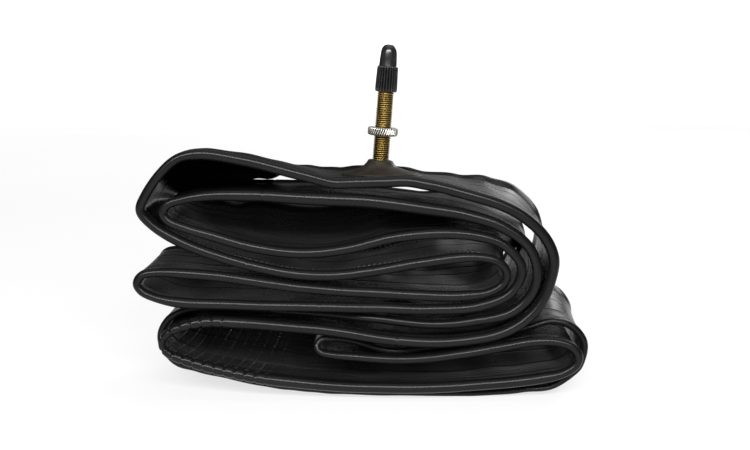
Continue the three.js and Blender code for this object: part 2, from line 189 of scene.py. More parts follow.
def smooth(low, high, value):
    """0 below low, 1 above high, and an S-shaped change between them."""
    share = np.clip((value - low) / (high - low), 0, 1)
    return share * share * (3 - 2 * share)


def along_stretch(value, share):
    """A stretch's value at a share of its length: one number, or a list spread evenly."""
    if not isinstance(value, list):
        return float(value)
    return float(np.interp(share, np.linspace(0, 1, len(value)), value))


def route_stations():
    """Every point of the route, and the values of KEYS there."""
    points, values = [], []
    for stretch in ROUTE:
        last = len(stretch["points"]) - 1
        for index, point in enumerate(stretch["points"]):
            points.append(point)
            values.append([along_stretch(stretch.get(key, 0), index / last) for key in KEYS])
    return np.array(points, float), np.array(values, float)


def dense_route():
    """The route as close points on a centripetal Catmull-Rom curve through its stations.

    Gives places, values and distances along it, its whole length and each point's station."""
    spacing = 0.2
    points, values = route_stations()
    count = len(points)
    places, kept, owners = [], [], []
    for i in range(count):
        p0, p1, p2, p3 = (points[(i + k - 1) % count] for k in range(4))
        t0 = 0.0
        t1 = t0 + math.sqrt(np.linalg.norm(p1 - p0))
        t2 = t1 + math.sqrt(np.linalg.norm(p2 - p1))
        t3 = t2 + math.sqrt(np.linalg.norm(p3 - p2))
        steps = max(2, round(float(np.linalg.norm(p2 - p1)) / spacing))
        share = (np.arange(steps) / steps)[:, None]
        t = t1 + (t2 - t1) * share
        a1 = (t1 - t) / (t1 - t0) * p0 + (t - t0) / (t1 - t0) * p1
        a2 = (t2 - t) / (t2 - t1) * p1 + (t - t1) / (t2 - t1) * p2
        a3 = (t3 - t) / (t3 - t2) * p2 + (t - t2) / (t3 - t2) * p3
        b1 = (t2 - t) / (t2 - t0) * a1 + (t - t0) / (t2 - t0) * a2
        b2 = (t3 - t) / (t3 - t1) * a2 + (t - t1) / (t3 - t1) * a3
        places.append((t2 - t) / (t2 - t1) * b1 + (t - t1) / (t2 - t1) * b2)
        eased = share * share * (3 - 2 * share)
        kept.append(values[i] * (1 - eased) + values[(i + 1) % count] * eased)
        owners.extend([i] * steps)
    places = np.concatenate(places)
    lengths = np.linalg.norm(np.roll(places, -1, 0) - places, axis=1)
    distance = np.concatenate([[0], np.cumsum(lengths)])
    return places, np.concatenate(kept), distance[:-1], distance[-1], np.array(owners)


PLACES, VALUES, DISTANCE, LENGTH, OWNERS = dense_route()


def on_route(distance):
    """Middle points and values of KEYS at the given distances along the route."""
    wrapped = np.mod(distance, LENGTH)
    at = np.append(DISTANCE, LENGTH)

    def read(table):
        return [np.interp(wrapped, at, np.append(column, column[0])) for column in table.T]

    return np.stack(read(PLACES), 1), dict(zip(KEYS, read(VALUES)))


def distance_at(stretch_name, x):
    """Distance along the route where the named stretch comes nearest to that X."""
    start = 0
    for stretch in ROUTE:
        end = start + len(stretch["points"])
        if stretch["name"] == stretch_name:
            inside = np.nonzero((OWNERS >= start) & (OWNERS < end))[0]
            return float(DISTANCE[inside[np.argmin(np.abs(PLACES[inside, 0] - x))]])
        start = end
    raise ValueError(stretch_name)


# ---- Small shapes on the tube's surface ------------------------------------------------------

VALVE_AT = distance_at("top run", 5.7)  # the valve's place along the route

# Grip ribs round the lower left fold: where they start and end, their spacing and their slant.
RIB_FROM = distance_at("lower wrap run", -49.5)
RIB_TO = distance_at("floor run", -35.5)
RIB_PITCH = 3.9
RIB_SLANT = -0.15

# Lines moulded along the rim face and the tread face, as (across, height, half width).
# A groove's height is negative.
RIM_LINES = [
    (-9.35, -0.3, 0.32),
    (20.4, -0.2, 0.35),
    (-18.9, 0.1, 0.5),
    (-16.6, 0.07, 0.4),
    (-14.3, 0.06, 0.4),
    (5.5, -0.12, 0.35),
    (13.5, -0.14, 0.35),
]
TREAD_LINES = [
    (0.0, 0.1, 0.3),
    (13.0, -0.12, 0.3),
]

# Faint nicks across the beads, as (stretch, x, height, half width).
CROSS_MARKS = [
    ("inner top run", -36.0, -0.2, 0.3),
    ("inner lower run", -44.0, -0.12, 0.3),
    ("crossing run", -42.0, -0.18, 0.3),
    ("lower wrap run", 12.0, -0.22, 0.35),
    ("floor run", 36.0, -0.12, 0.3),
    ("stub lower run", -16.0, -0.18, 0.3),
    ("second wrap run", 44.0, -0.16, 0.3),
]


def bump(value, width):
    """1 at 0, and almost nothing two widths away."""
    return np.exp(-((value / width) ** 2))


def periodic_waves(distance, across, terms):
    """A sum of slow waves that meet where the loop closes: (height, cycles, slant, phase)."""
    total = np.zeros(np.broadcast(distance, across).shape)
    for height, cycles, slant, phase in terms:
        total += height * np.sin(TURN * (cycles * distance / LENGTH) + slant * across + phase)
    return total


def clearance():
    """Room between each place of the route and the nearest other layer, less their thickness."""
    sample = slice(None, None, 8)  # every eighth place is enough
    same_layer = 14.0  # places closer than this along the route are one layer
    plenty = 99.0
    points, values, distance = PLACES[sample], VALUES[sample], DISTANCE[sample]
    thick = np.maximum(values[:, 0], values[:, 1]) / 2
    apart = np.linalg.norm(points[:, None] - points[None], axis=2)
    way = np.abs(distance[:, None] - distance[None])
    way = np.minimum(way, LENGTH - way)
    room = apart - thick[:, None] - thick[None]
    room[way < same_layer] = plenty
    return np.interp(DISTANCE, distance, room.min(1))


CLEAR = clearance()


def half_thickness(across, edge, rear):
    """Half the pressed tube's thickness: a flat web with a rounded, tapering bead at each edge."""
    size = np.abs(across)
    radius = np.where(across < 0, edge, rear) / 2
    swell = WALL + (radius - WALL) * smooth(BEAD_START, BEAD_TOP, size)
    over = np.clip((size - (HALF_WIDTH - radius)) / radius, 0, 1)
    return np.where(over > 0, radius * np.sqrt(np.clip(1 - over**2, 0, 1)), swell)


def ring_across():
    """Where the ring's points lie across one face, from the front edge to the rear edge."""
    web_step = 1.35
    too_close = 0.3
    bead_from = 22.0  # no point of a bead is left out
    tip = 2.0  # radius of the arc that spreads the points of a rounded edge
    spots = {0.0}
    for angle in np.linspace(0, math.pi / 2, 8)[:-1]:
        spots.add(round(HALF_WIDTH - tip + tip * math.cos(angle), 3))
    for value in np.linspace(BEAD_START, HALF_WIDTH - tip, 7):
        spots.add(round(float(value), 3))
    for value in np.arange(web_step, BEAD_START, web_step):
        spots.add(round(float(value), 3))
    line_up = sorted({-s for s in spots} | spots)
    fine = set()
    for middle, _, width in RIM_LINES + TREAD_LINES:
        for share in (-1.8, -1.0, -0.45, 0.0, 0.45, 1.0, 1.8):
            fine.add(round(middle + share * width, 3))
    kept = {s for s in line_up if abs(s) > bead_from or min(abs(s - f) for f in fine) > too_close}
    return np.array(sorted(kept | fine))


def station_distances():
    """Where the loft has its sections: closer in folds, ribs and marks."""
    reach = 5  # the turn is measured over this many route points each way
    turn_per_section = 0.11
    in_fold, in_run, in_detail = 0.7, 1.7, 0.22
    before_ribs, after_ribs = 3, 9
    rounds, slack = 3, 0.01  # these ease the change from one spacing to the next
    ahead = np.roll(PLACES, -reach, 0) - PLACES
    behind = PLACES - np.roll(PLACES, reach, 0)
    sideways = behind[:, 0] * ahead[:, 1] - behind[:, 1] * ahead[:, 0]
    turn = np.abs(np.arctan2(sideways, (behind * ahead).sum(1)))
    run = np.linalg.norm(ahead, axis=1)
    wanted = np.clip(turn_per_section * run / np.maximum(turn, 1e-4), in_fold, in_run)
    ribbed = (DISTANCE > RIB_FROM - before_ribs) & (DISTANCE < RIB_TO + after_ribs)
    wanted = np.where(ribbed, in_detail, wanted)
    for name, x, _, width in CROSS_MARKS:
        near = np.abs(DISTANCE - distance_at(name, x)) < 2.5 * width
        wanted = np.where(near, in_detail, wanted)
    for _ in range(rounds):
        wanted = np.minimum(wanted, (np.roll(wanted, 1) + np.roll(wanted, -1)) / 2 + slack)
    density = np.concatenate([[0], np.cumsum(np.diff(np.append(DISTANCE, LENGTH)) / wanted)])
    count = int(math.ceil(density[-1]))
    marks = np.linspace(0, density[-1], count, endpoint=False)
    return np.interp(marks, density, np.append(DISTANCE, LENGTH))


# The rubber's ripples, as (height, cycles round the route, slant across it, phase).
# EDGE_WANDER moves the whole section to the front and to the rear.
WEB_RIPPLES = [
    (0.2, 37, 0.05, 0.4), (0.15, 61, -0.09, 2.1), (0.1, 89, 0.13, 4.0), (0.06, 131, 0.02, 1.2),
]
EDGE_RIPPLES = [(0.08, 31, 0, 0.7), (0.05, 57, 0, 3.3), (0.02, 97, 0, 5.0)]
EDGE_WANDER = [(0.22, 29, 0, 1.1), (0.12, 53, 0, 4.4)]
VALVE_CALM = 24.0  # ripples fade out about this near the valve


def middle_surface(s, u):
    """Points of the middle of the pressed tube, and the values of KEYS there.

    s is the distance along the route and u the distance across it, from front to rear."""
    places, v = on_route(s.ravel())
    v = {key: value.reshape(s.shape) for key, value in v.items()}
    room = np.interp(np.mod(s, LENGTH), DISTANCE, CLEAR)
    free = np.clip((room + 1.2) / 2.2, 0.25, 1)  # ripples are low where layers touch
    rear_share = np.clip((u - RISE_FROM) / (RISE_FULL - RISE_FROM), 0, 1.1) ** RISE_POWER
    fore_share = smooth(FORE_FROM, FORE_FULL, u)
    web = smooth(-WEB_END, -WEB_FULL, u) * (1 - smooth(WEB_FULL, WEB_END, u))
    calm = 1 - bump(s - VALVE_AT, VALVE_CALM)
    ripple = periodic_waves(s, u, WEB_RIPPLES)
    edge_ripple = periodic_waves(s, 0 * u, EDGE_RIPPLES)
    wave = (ripple * web + edge_ripple * (1 - web)) * free * calm
    lift = v["rise"] * rear_share + v["fore"] * fore_share + v["sag"] * web + wave
    push = periodic_waves(s, 0 * u, EDGE_WANDER) * calm
    x = places[:, 0].reshape(s.shape) + v["lean"] * rear_share
    y = u + v["back"] + push + SHIFT_Y
    z = places[:, 1].reshape(s.shape) + lift
    return np.stack([x, y, z], -1), v


def tube_surface(s, u, side):
    """Points of one face of the tube: side is +1 for the rim face and -1 for the tread face."""
    nearby = 0.35
    centre, v = middle_surface(s, u)
    along = middle_surface(s + nearby, u)[0] - middle_surface(s - nearby, u)[0]
    over = middle_surface(s, u + nearby)[0] - middle_surface(s, u - nearby)[0]
    normal = np.cross(along, over)
    normal /= np.linalg.norm(normal, axis=-1)[..., None]
    height = half_thickness(u, v["edge"], v["rear"]) + relief(s, u, side)
    return centre + normal * (height * side)[..., None]


def grid(distance, across):
    """Every pair of a distance along and a distance across, as two arrays."""
    return np.meshgrid(distance, across, indexing="ij")


def rib_grooves(s, u):
    """Depth of the grooves between the ribs, with finer ones halfway between them at the rear."""
    front = -25.0  # RIB_FROM and RIB_TO are measured at the front bead
    shifted = s + RIB_SLANT * (u - front)
    ribbed = smooth(RIB_FROM, RIB_FROM + 3, shifted) * (1 - smooth(RIB_TO - 1, RIB_TO + 1, shifted))
    gap = np.mod((shifted - RIB_TO) / RIB_PITCH, 1.0)
    gap = np.minimum(gap, 1 - gap) * RIB_PITCH
    fine_gap = np.mod(2 * (shifted - RIB_TO) / RIB_PITCH, 1.0)
    fine_gap = np.minimum(fine_gap, 1 - fine_gap) * RIB_PITCH / 2
    on_bead = smooth(20.0, 23.0, np.abs(u))
    depth, width = 0.16 + 0.26 * on_bead, 0.28 + 0.14 * on_bead
    fine_depth, fine_width = 0.05 * smooth(-8.0, 4.0, u), 0.22
    return (depth * bump(gap, width) + fine_depth * bump(fine_gap, fine_width)) * ribbed


def relief(s, u, side):
    """Height of the moulded lines, ribs and marks over the plain surface."""
    patch_radius = 16.0
    total = np.zeros_like(s)
    on_bead = smooth(21.0, 23.5, np.abs(u))
    lines = RIM_LINES if side > 0 else TREAD_LINES
    clear_of_valve = 1 - bump(s - VALVE_AT, patch_radius)
    for middle, height, width in lines:
        total += height * bump(u - middle, width) * clear_of_valve
    for name, x, height, width in CROSS_MARKS:
        total += height * bump(s - distance_at(name, x), width) * on_bead
    where = 1.0 if side > 0 else on_bead  # the tread face has ribs on its beads only
    return total - rib_grooves(s, u) * where


# ---- Mesh helpers ----------------------------------------------------------------------------


def add_object(name, verts, faces, material, uvs=None, vertex_uvs=None):
    """A smooth mesh object from points in millimetres, with optional UVs per corner or per vertex."""
    mesh = bpy.data.meshes.new(name)
    mesh.from_pydata((np.asarray(verts) * MM).tolist(), [], [list(face) for face in faces])
    mesh.validate()
    mesh.polygons.foreach_set("use_smooth", [True] * len(mesh.polygons))
    if vertex_uvs is not None:
        corner_vertices = np.zeros(len(mesh.loops), np.int32)
        mesh.loops.foreach_get("vertex_index", corner_vertices)
        uvs = np.asarray(vertex_uvs)[corner_vertices]
    if uvs is not None:
        layer = mesh.uv_layers.new(name="place")
        layer.data.foreach_set("uv", np.asarray(uvs, np.float32).reshape(-1))
    mesh.materials.append(material)
    obj = bpy.data.objects.new(name, mesh)
    bpy.context.scene.collection.objects.link(obj)
    return obj


def grid_faces(rows, columns, wrap_rows, wrap_columns):
    """Quads over a grid of points, and the row and the column where each quad starts."""
    i = np.arange(rows if wrap_rows else rows - 1)
    k = np.arange(columns if wrap_columns else columns - 1)
    i, k = np.meshgrid(i, k, indexing="ij")
    i2, k2 = (i + 1) % rows, (k + 1) % columns
    quads = np.stack([i * columns + k, i2 * columns + k, i2 * columns + k2, i * columns + k2], -1)
    return quads.reshape(-1, 4), i.reshape(-1), k.reshape(-1)


def build_tube(material):
    """The pressed tube: one loft round the whole route. Its UVs are the distance along the route
    and round the section, where the rim face has the values of its distance across."""
    stations = station_distances()
    across = ring_across()
    rim = tube_surface(*grid(stations, across), 1)
    tread = tube_surface(*grid(stations, across[1:-1]), -1)[:, ::-1]
    verts = np.concatenate([rim, tread], 1)
    rows, columns = verts.shape[:2]
    faces, i, k = grid_faces(rows, columns, True, True)
    girth = np.concatenate([across, 2 * HALF_WIDTH - across[1:-1][::-1], [3 * HALF_WIDTH]])
    along = np.append(stations, LENGTH)
    corners = [(i, k), (i + 1, k), (i + 1, k + 1), (i, k + 1)]
    uvs = np.stack([np.stack([along[row], girth[column]], -1) for row, column in corners], 1)
    return add_object("tube_rubber", verts.reshape(-1, 3), faces, material, uvs * UV_PER_MM)


def build_strip(name, across, start, end, material):
    """A thin strip of small nubs on the tread face, that runs along the tube like a ridge."""
    pitch, half_width = 1.9, 0.7
    seam_height, nub_height, buried = 0.08, 0.7, 0.25
    steps = 8  # sections to a nub
    middle = 3  # the profile's middle point
    profile = np.linspace(-1, 1, 2 * middle + 1)
    count = int((end - start) / pitch) * steps
    s = start + np.arange(count) * pitch / steps
    u = across + profile * half_width
    base = tube_surface(*grid(s, u), -1)
    out = base[:, middle] - middle_surface(*grid(s, u[middle : middle + 1]))[0][:, 0]
    out /= np.linalg.norm(out, axis=1)[:, None]
    nub = (0.5 + 0.5 * np.cos(TURN * s / pitch)) ** 1.5
    height = seam_height + nub_height * nub[:, None] * np.sqrt(np.clip(1 - profile**2, 0, 1))[None]
    top = base + out[:, None] * height[..., None]
    under = base - out[:, None] * buried
    ring = np.concatenate([top, under[:, ::-1]], 1)
    rows, columns = ring.shape[:2]
    faces, _, _ = grid_faces(rows, columns, False, True)
    first_end = list(range(columns))
    last_end = [rows * columns - 1 - k for k in range(columns)]
    faces = faces[:, ::-1].tolist() + [first_end, last_end]
    return add_object(name, ring.reshape(-1, 3), faces, material)


# ---- The valve -------------------------------------------------------------------------------

joints = {joint["name"]: joint for joint in frame["record"]["behaviour"]["joints"]}
NUT_JOINT_HEIGHT = 42.0  # height of the lock nut's joint above the tube's surface, along the axis
axis = Vector(joints["lock_nut_turn"]["axis"]).normalized()
VALVE_BASE = Vector(joints["lock_nut_turn"]["pos_m"]) / MM - axis * NUT_JOINT_HEIGHT
side_axis = Vector((0, 1, 0))
VALVE_FRAME = np.array([side_axis.cross(axis)[:], side_axis[:], axis[:]])


def to_part(points):
    """Points of the valve's own frame in the part's frame, in millimetres."""
    return np.asarray(points) @ VALVE_FRAME + np.array(VALVE_BASE[:])


def turned(name, rows, sides, material, body, closed=True):
    """A turned form about the valve's axis. Each row is (radius, height), and a radius may change
    round the axis as an array. Rows run up the outside and, if closed, back down the bore.
    The UV's first value is how deep a point lies in a thread or knurl, from 0 to 1."""
    full_depth = 0.34
    angle = np.arange(sides) / sides * TURN
    rings, depths = [], []
    for radius, height in rows:
        r = np.broadcast_to(radius, (sides,))
        h = np.broadcast_to(height, (sides,))
        rings.append(np.stack([r * np.cos(angle), r * np.sin(angle), h], -1))
        depths.append(np.clip((np.max(r) - r) / full_depth, 0, 1))
    verts, depth = np.concatenate(rings), np.concatenate(depths)
    faces, _, _ = grid_faces(len(rows), sides, closed, True)
    faces = faces[:, ::-1].tolist()
    if not closed:
        bottom, top = len(verts), len(verts) + 1
        first, last = rings[0][:, 2].mean(), rings[-1][:, 2].mean()
        verts = np.concatenate([verts, [[0, 0, first], [0, 0, last]]])
        depth = np.append(depth, [0, 0])
        base = (len(rows) - 1) * sides
        for k in range(sides):
            after = (k + 1) % sides
            faces.append([bottom, after, k])
            faces.append([top, base + k, base + after])
    marks = np.stack([depth, np.zeros_like(depth)], 1)
    obj = add_object(name, to_part(verts), faces, material, vertex_uvs=marks)
    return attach(obj, body)


def thread_rows(radius, depth, pitch, low, high, sides):
    """Rows up a screw thread: a rounded vee that climbs one pitch for each turn and is shallow
    at both ends."""
    rows_per_pitch = 8
    run_out = 0.6 * pitch
    turn = np.arange(sides) / sides
    count = int(math.ceil((high - low) / pitch * rows_per_pitch))
    rows = []
    for height in np.linspace(low, high, count + 1):
        wave = np.abs(np.mod(height / pitch - turn, 1.0) - 0.5) * 2
        ease = min(1.0, (height - low) / run_out, (high - height) / run_out)
        cut = depth * (1 - smooth(0.1, 0.7, wave)) * (0.25 + 0.75 * ease)
        rows.append((radius - cut, height))
    return rows


def teeth_wave(sides, teeth, lean=0.0):
    """Round the axis, 0 in the middle of each gap between teeth and 1 on each tooth."""
    return np.abs(np.mod(np.arange(sides) / sides * teeth - lean, 1.0) - 0.5) * 2


def build_stem(material):
    """The stem: threaded from the foot up to its end, with a flange inside the foot."""
    bore, radius = 2.1, 3.12
    sides = 64
    rows = [(bore, -0.5), (radius - 0.3, -0.5), (radius - 0.05, 0.0), (radius - 0.05, 1.55),
            (4.6, 1.6), (4.6, 2.4), (radius - 0.05, 2.45), (radius - 0.05, 4.2)]
    rows += thread_rows(radius, depth=0.42, pitch=0.794, low=4.6, high=33.0, sides=sides)
    rows += [(radius - 0.45, 33.2), (bore, 33.2), (bore, 16.0)]
    return turned("stem_thread", rows, sides, material, "root")


def build_core_body(material):
    """The core body: inside the stem up to its shoulder, and threaded above it for the cap."""
    sides = 48
    rows = [(1.15, 23.0), (1.7, 23.0), (1.8, 23.15), (1.8, 33.75), (2.5, 33.8)]
    rows += thread_rows(2.6, depth=0.26, pitch=0.6, low=34.2, high=39.9, sides=sides)
    rows += [(2.35, 40.2), (1.15, 40.2), (1.15, 32.0)]
    return turned("core_body", rows, sides, material, "root")


def build_pin(material):
    """The pin: a head below its seal, a plain shank and a fine thread for the lock nut."""
    sides = 32
    rows = [(0.3, 19.6), (1.4, 19.6), (1.5, 19.7), (1.5, 20.1), (1.4, 20.2), (0.8, 20.2), (0.8, 38.4)]
    rows += thread_rows(0.8, depth=0.12, pitch=0.5, low=38.6, high=45.0, sides=sides)
    rows += [(0.5, 45.2)]
    return turned("core_pin", rows, sides, material, "pin_assembly", closed=False)


def build_pin_seal(material):
    """The rubber cone that closes the core body's mouth."""
    rows = [(0.9, 21.3), (1.6, 21.3), (1.7, 21.45), (1.62, 21.9), (1.2, 22.7), (1.1, 22.8), (0.9, 22.8)]
    return turned("pin_seal_rubber", rows, 40, material, "pin_assembly")


def build_retainer(material):
    """The washer that holds the seal on the pin."""
    rows = [(0.9, 20.4), (1.5, 20.4), (1.6, 20.5), (1.6, 21.0), (1.5, 21.1), (0.9, 21.1)]
    return turned("pin_retainer", rows, 40, material, "pin_assembly")


def build_gasket(material):
    """The soft washer between the stem's end and the core body's shoulder."""
    rows = [(1.95, 33.34), (2.05, 33.3), (2.45, 33.3), (2.55, 33.4), (2.55, 33.6), (2.45, 33.7),
            (2.05, 33.7), (1.95, 33.66)]
    return turned("core_gasket_ring", rows, 48, material, "root")


def build_lock_nut(material):
    """The small knurled nut on the pin's end."""
    sides, teeth = 144, 24
    grip = 2.2 - 0.16 * (1 - smooth(0.2, 0.9, teeth_wave(sides, teeth)))
    rows = [(0.95, 40.4), (1.6, 40.4), (1.9, 40.5), (grip - 0.1, 40.75), (grip, 40.95),
            (grip, 42.9), (grip - 0.12, 43.15), (1.75, 43.5), (1.4, 43.6), (0.95, 43.6)]
    return turned("lock_nut_knurled", rows, sides, material, "lock_nut")


def build_ring_nut(material):
    """A flat round nut whose edge is cut with slanted teeth."""
    sides, teeth = 260, 38
    inner, outer = 3.25, 5.65
    low, high = 14.4, 17.4
    edge_gap = 0.2  # the teeth stop this far from each flat face
    depth, chamfer = 0.42, 0.22
    rows = [(inner, low), (inner + 0.25, low), (outer - 0.75, low), (outer - 0.55, low + 0.08)]
    for share in np.linspace(0, 1, 9):
        height = low + edge_gap + (high - low - 2 * edge_gap) * share
        gap = 1 - smooth(0.15, 0.75, teeth_wave(sides, teeth, share))
        ends = chamfer * bump(min(share, 1 - share), 0.08)
        rows.append((outer - ends - depth * gap, height))
    rows += [
        (outer - 0.55, high - 0.08), (outer - 0.75, high), (inner + 0.35, high), (inner, high - 0.3),
    ]
    return turned("ring_nut_knurled", rows, sides, material, "ring_nut")


def build_cap(material):
    """A dust cap: a skirt with grip ribs and a smooth dome above a small step."""
    sides, ribs = 288, 24
    groove = 0.5 * (1 - smooth(0.05, 0.8, teeth_wave(sides, ribs)))
    bottom, skirt_top, top = 30.7, 40.4, 48.2
    rows = [(3.25, bottom + 0.15), (3.35, bottom)]
    for height, radius, share in (
        (bottom, 3.75, 0.6), (bottom + 0.12, 3.95, 1.0), (bottom + 0.5, 4.08, 1.0),
        (bottom + 1.2, 4.14, 1.0), (bottom + 3, 4.1, 1.0), (bottom + 5, 4.03, 1.0),
        (bottom + 7, 3.95, 1.0), (skirt_top - 0.9, 3.9, 1.0), (skirt_top - 0.6, 3.86, 0.9),
        (skirt_top - 0.45, 3.76, 0.5), (skirt_top - 0.36, 3.6, 0.0),
    ):
        rows.append((radius - share * groove, height))
    rows += [
        (3.36, skirt_top - 0.12), (3.28, skirt_top), (3.26, skirt_top + 0.1), (3.18, skirt_top + 2.4),
        (3.08, skirt_top + 3.9), (2.94, skirt_top + 5.2), (2.7, skirt_top + 6.2),
        (2.25, skirt_top + 6.95), (1.75, skirt_top + 7.45), (1.1, skirt_top + 7.72),
        (0.45, top - 0.01), (0.02, top),
        (0.02, 46.6), (1.5, 46.5), (2.4, 45.6), (2.75, 44.6), (2.75, 34.7), (3.25, 34.2),
    ]
    return turned("dust_cap_shell", rows, sides, material, "dust_cap")


def on_tube(x, y, height):
    """Points at a height above the rim face of the top run, near the valve."""
    points = tube_surface(VALVE_AT + x - VALVE_BASE.x, y - SHIFT_Y, 1)
    points[:, 2] += height
    return points


def foot_ring(radius, axis_height, skin_height, angle):
    """A ring of the foot: round the valve's axis near the stem, and on the tube further out."""
    circle = [radius * np.cos(angle), radius * np.sin(angle), np.full_like(angle, axis_height)]
    upright = to_part(np.stack(circle, -1))
    lying = on_tube(upright[:, 0], upright[:, 1], skin_height)
    share = smooth(4.2, 8.5, radius)
    return upright * (1 - share) + lying * share


def build_foot(material):
    """The rubber foot: a collar round the stem that flares out and feathers into the tube.
    Each row is (radius, height up the valve's axis, height over the tube)."""
    sides = 120
    angle = np.arange(sides) / sides * TURN
    rows = [(3.3, 2.8, 2.8), (3.3, 5.0, 5.0), (3.42, 5.1, 5.1), (4.2, 5.1, 5.1), (4.5, 5.03, 5.0),
            (4.7, 4.85, 4.8), (4.88, 4.5, 4.45), (5.15, 4.05, 4.0), (5.55, 3.6, 3.55), (6.1, 3.12, 3.05),
            (6.8, 2.65, 2.6), (7.7, 2.2, 2.2), (8.7, 1.8, 1.8), (9.7, 1.46, 1.46), (10.7, 1.18, 1.18),
            (11.7, 0.95, 0.95), (12.7, 0.76, 0.76), (13.6, 0.6, 0.6), (14.4, 0.46, 0.46),
            (14.4, 0.2, 0.2), (9.0, 0.4, 0.4), (5.0, 0.95, 0.95), (3.3, 0.98, 0.98)]
    verts = np.concatenate([foot_ring(radius, high, skin, angle) for radius, high, skin in rows])
    faces, _, _ = grid_faces(len(rows), sides, True, True)
    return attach(add_object("foot_rubber_flare", verts, faces, material), "root")


def build_patch(material):
    """The thin reinforcing patch that lies on the tube under the foot, feathered at its edge.
    Each row is (radius, height over the tube). Its UVs are one plain spot of the rim face."""
    sides = 120
    angle = np.arange(sides) / sides * TURN
    rows = [(3.7, 0.85), (5.0, 0.8), (7.0, 0.74), (9.0, 0.67), (10.6, 0.6), (11.9, 0.52), (12.8, 0.43),
            (13.8, 0.31), (14.8, 0.19), (15.6, 0.09), (16.2, -0.05)]
    rows += [(radius, -0.2) for radius, _ in rows[::-1]]
    verts = np.concatenate(
        [
            on_tube(VALVE_BASE.x + radius * np.cos(angle), SHIFT_Y + radius * np.sin(angle), height)
            for radius, height in rows
        ]
    )
    faces, _, _ = grid_faces(len(rows), sides, True, True)
    plain_spot = np.tile([[0.5, 0.2]], (len(verts), 1))
    obj = add_object("patch_feathered", verts, faces, material, vertex_uvs=plain_spot)
    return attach(obj, "root")


# ---- Materials -------------------------------------------------------------------------------


class Nodes:
    """A material's node tree, with short calls to add and join nodes."""

    def __init__(self, name):
        self.material = bpy.data.materials.new(name)
        self.material.use_nodes = True
        self.tree = self.material.node_tree
        self.shader = self.tree.nodes["Principled BSDF"]

    def feed(self, socket, value):
        """Joins another node's output to a socket, or gives the socket a fixed value."""
        if isinstance(value, bpy.types.NodeSocket):
            self.tree.links.new(value, socket)
        else:
            socket.default_value = value

    def add(self, kind, **inputs):
        node = self.tree.nodes.new(kind)
        for key, value in inputs.items():
            self.feed(node.inputs[key.replace("_", " ")], value)
        return node

    def set(self, **values):
        for key, value in values.items():
            self.feed(self.shader.inputs[key.replace("_", " ")], value)

    def place_uv(self):
        node = self.add("ShaderNodeUVMap")
        node.uv_map = "place"
        return node.outputs["UV"]

    def place_object(self):
        return self.add("ShaderNodeTexCoord").outputs["Object"]

    def part(self, vector, letter):
        return self.add("ShaderNodeSeparateXYZ", Vector=vector).outputs[letter]

    def ramp(self, source, stops):
        node = self.add("ShaderNodeValToRGB", Fac=source)
        elements = node.color_ramp.elements
        elements[0].position, elements[0].color = stops[0]
        elements[1].position, elements[1].color = stops[-1]
        for position, color in stops[1:-1]:
            elements.new(position).color = color
        return node.outputs["Color"]

    def absolute(self, source):
        node = self.add("ShaderNodeMath")
        node.operation = "ABSOLUTE"
        self.feed(node.inputs[0], source)
        return node.outputs["Value"]

    def blend(self, factor, first, second):
        """One color where the factor is 0 and another where it is 1."""
        color_a, color_b, color_result = 6, 7, 2  # these sockets share their names with others
        node = self.add("ShaderNodeMix")
        node.data_type = "RGBA"
        self.feed(node.inputs["Factor"], factor)
        self.feed(node.inputs[color_a], first)
        self.feed(node.inputs[color_b], second)
        return node.outputs[color_result]

    def crest(self):
        """1 on the crests of a thread or knurl and 0 in its grooves, from the UVs of turned()."""
        return self.spread(self.part(self.place_uv(), "X"), 0.2, 0.75, 1.0, 0.0)

    def spread(self, source, low, high, to_low, to_high):
        node = self.add(
            "ShaderNodeMapRange", Value=source, From_Min=low, From_Max=high, To_Min=to_low,
            To_Max=to_high,
        )
        return node.outputs["Result"]

    def noise(self, vector, scale, detail=4.0, roughness=0.55, distortion=0.0):
        node = self.add(
            "ShaderNodeTexNoise", Vector=vector, Scale=scale, Detail=detail, Roughness=roughness,
            Distortion=distortion,
        )
        return node.outputs["Fac"]

    def stretched(self, vector, scale):
        return self.add("ShaderNodeMapping", Vector=vector, Scale=scale).outputs["Vector"]

    def bump(self, height, distance, strength, under=None):
        """A bump of the surface, over another bump if one is given."""
        node = self.add("ShaderNodeBump", Height=height, Distance=distance, Strength=strength)
        if under is not None:
            self.feed(node.inputs["Normal"], under)
        return node.outputs["Normal"]


def grey(value, warm=0.0):
    """A grey, with a little more red and less blue if it is warm."""
    return (value * (1 + warm), value, value * (1 - warm), 1.0)


